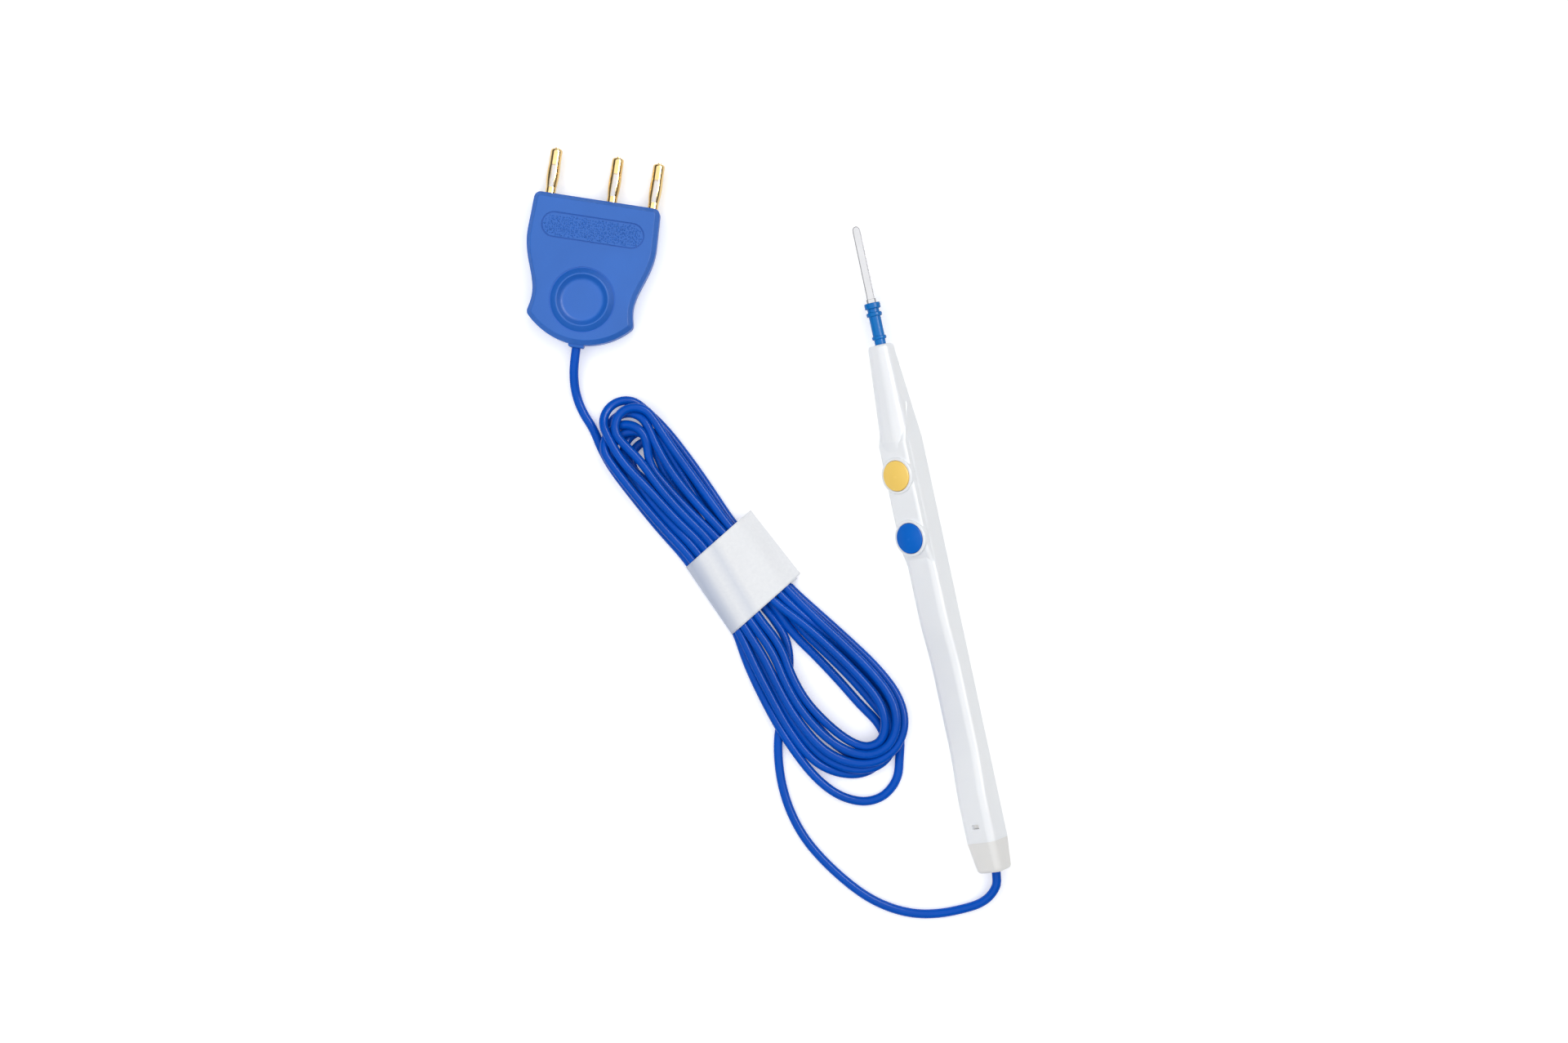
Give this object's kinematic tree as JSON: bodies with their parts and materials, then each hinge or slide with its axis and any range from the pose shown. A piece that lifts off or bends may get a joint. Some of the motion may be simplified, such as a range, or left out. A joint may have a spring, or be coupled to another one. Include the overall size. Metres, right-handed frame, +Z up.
{
  "type": "electrosurgical pencil",
  "caption": "Hand-switched electrosurgical pencil with a blade electrode, push buttons, a banded cable hank and a flat pinned plug.",
  "frame": {"origin": "centre of the pencil's box on the table it lies on, without its cable and plug", "axes": "+Y along the pencil towards the blade's tip, +Z up from the table, +X across"},
  "size_m": [0.1214, 0.2826, 0.0163],
  "materials": {
    "white_shell": "satin",
    "warm_white_cap": "satin",
    "yellow_button": "satin",
    "blue_button": "satin",
    "board": "satin",
    "dome_steel": "satin",
    "socket_brass": "satin",
    "blade_steel": "polished",
    "blue_sleeve": "satin",
    "clamp_brass": "satin",
    "core_insulation": "satin",
    "blue_cable": "satin",
    "white_paper": "matte",
    "blue_plug": "satin",
    "carrier": "satin",
    "gold_pin": "polished"
  },
  "bodies": {
    "pencil": {"handle": "white_shell", "end_cap": "warm_white_cap", "switch_board": "board", "cut_dome": "dome_steel", "coag_dome": "dome_steel", "electrode_socket": "socket_brass", "cable_clamp": "clamp_brass", "active_wire": "core_insulation", "cut_wire": "core_insulation", "coag_wire": "core_insulation", "cable_pencil_lead": "blue_cable", "cable_hank": "blue_cable", "cable_plug_lead": "blue_cable", "cable_band": "white_paper", "plug_body": "blue_plug", "pin_carrier": "carrier", "active_pin": "gold_pin", "cut_pin": "gold_pin", "coag_pin": "gold_pin", "plug_active_wire": "core_insulation", "plug_cut_wire": "core_insulation", "plug_coag_wire": "core_insulation"},
    "cut_button": {"cut_button": "yellow_button"},
    "coag_button": {"coag_button": "blue_button"},
    "electrode": {"electrode_blade": "blade_steel", "electrode_sleeve": "blue_sleeve"}
  },
  "joints": [
    {"name": "cut_button_press", "type": "slide", "parent": "pencil", "child": "cut_button", "axis": [0.6157, 0, -0.788], "range_m": [0, 0.0006], "stiffness_N_per_m": 900, "springref_m": -0.001, "deforming": ["cut_dome"]},
    {"name": "coag_button_press", "type": "slide", "parent": "pencil", "child": "coag_button", "axis": [0.6157, 0, -0.788], "range_m": [0, 0.0006], "stiffness_N_per_m": 900, "springref_m": -0.001, "deforming": ["coag_dome"]},
    {"name": "electrode_pull", "type": "slide", "parent": "pencil", "child": "electrode", "axis": [0, 1, 0], "range_m": [0, 0.045]}
  ]
}
